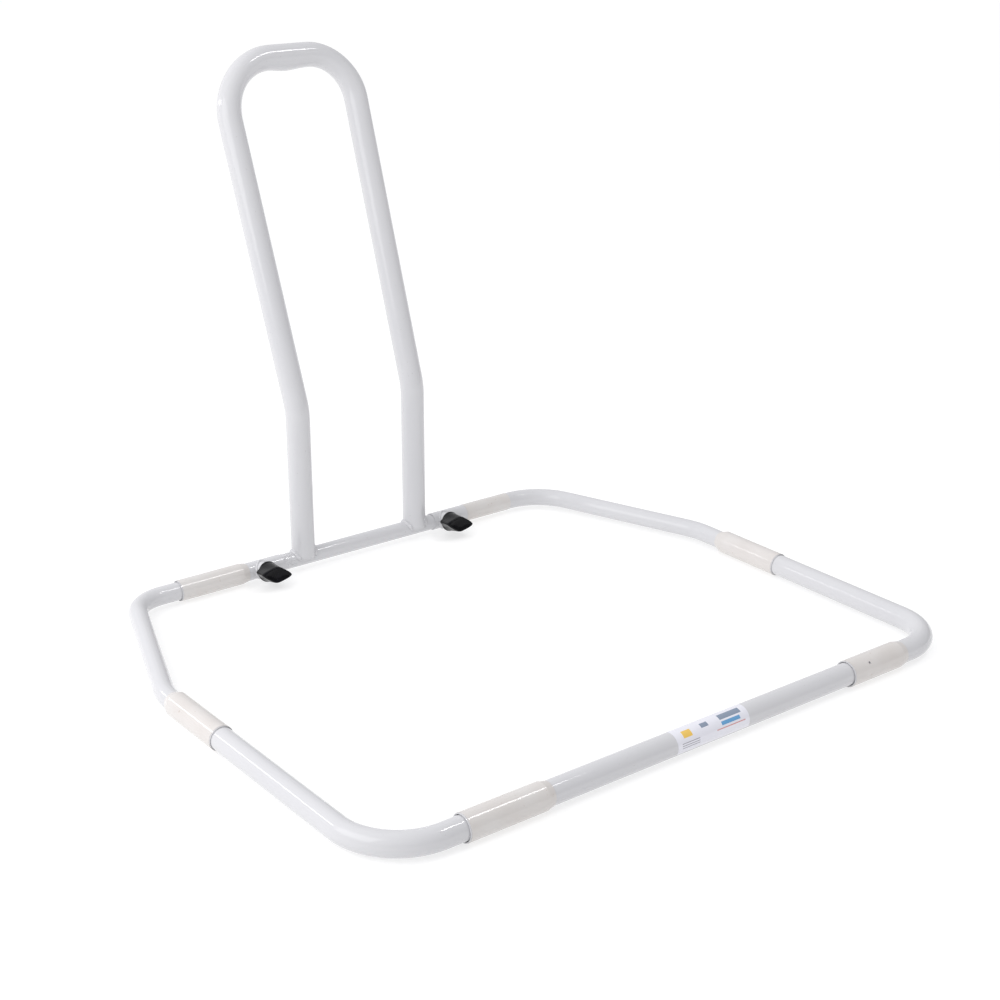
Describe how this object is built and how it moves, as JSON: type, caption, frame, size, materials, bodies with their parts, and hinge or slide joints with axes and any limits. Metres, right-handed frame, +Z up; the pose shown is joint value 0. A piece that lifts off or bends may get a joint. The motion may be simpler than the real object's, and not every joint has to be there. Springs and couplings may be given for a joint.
{
  "type": "bed grab rail",
  "caption": "Upright hand loop on a crossbar that two wing knobs clamp into a flat ring of push-fit tubes, for lying between mattress and bed base.",
  "frame": {"origin": "on the plane the ring lies on, halfway along the front bar's centre line", "axes": "+X along the front bar to the right as seen from it, +Y from the front bar towards the hand loop, +Z up"},
  "size_m": [0.6892, 0.6922, 0.531],
  "materials": {
    "white_coat": "gloss powder coat",
    "ivory_sleeve": "satin",
    "black_plastic": "satin moulded",
    "zinc_steel": "zinc plated",
    "nylon": "natural",
    "label_film": "gloss film"
  },
  "bodies": {
    "ring": {"front_centre_tube": "white_coat", "front_left_corner_tube": "white_coat", "front_right_corner_tube": "white_coat", "rear_left_corner_tube": "white_coat", "left_clamp_tube": "white_coat", "rear_right_corner_tube": "white_coat", "front_left_sleeve": "ivory_sleeve", "front_right_sleeve": "ivory_sleeve", "side_left_sleeve": "ivory_sleeve", "side_right_sleeve": "ivory_sleeve", "rear_left_sleeve": "ivory_sleeve", "rear_right_sleeve": "ivory_sleeve", "left_boss": "white_coat", "right_boss": "white_coat", "boss_welds": "white_coat", "rating_label": "label_film"},
    "handle": {"hand_loop": "white_coat", "crossbar": "white_coat", "leg_welds": "white_coat"},
    "left_screw_tip": {"left_pad": "nylon"},
    "left_screw": {"left_knob": "black_plastic", "left_stud": "zinc_steel"},
    "right_screw_tip": {"right_pad": "nylon"},
    "right_screw": {"right_knob": "black_plastic", "right_stud": "zinc_steel"}
  },
  "joints": [
    {"name": "handle_fold", "type": "hinge", "parent": "ring", "child": "handle", "pos_m": [0.0125, 0.546, 0.013], "axis": [1, 0, 0], "range_deg": [-75, 85]},
    {"name": "left_screw_travel", "type": "slide", "parent": "ring", "child": "left_screw_tip", "axis": [0, -0.9903, 0.1392], "range_m": [0, 0.002]},
    {"name": "left_knob_turn", "type": "hinge", "parent": "left_screw_tip", "child": "left_screw", "pos_m": [-0.1147, 0.546, 0.013], "axis": [0, -0.9903, 0.1392], "range_deg": [0, 720]},
    {"name": "right_screw_travel", "type": "slide", "parent": "ring", "child": "right_screw_tip", "axis": [0, -0.9903, 0.1392], "range_m": [0, 0.002]},
    {"name": "right_knob_turn", "type": "hinge", "parent": "right_screw_tip", "child": "right_screw", "pos_m": [0.1232, 0.546, 0.013], "axis": [0, -0.9903, 0.1392], "range_deg": [0, 720]}
  ],
  "couplings": [
    {"joint": "left_knob_turn", "follows": "left_screw_travel", "rad_per_m": 6283.2},
    {"joint": "right_knob_turn", "follows": "right_screw_travel", "rad_per_m": 6283.2}
  ]
}
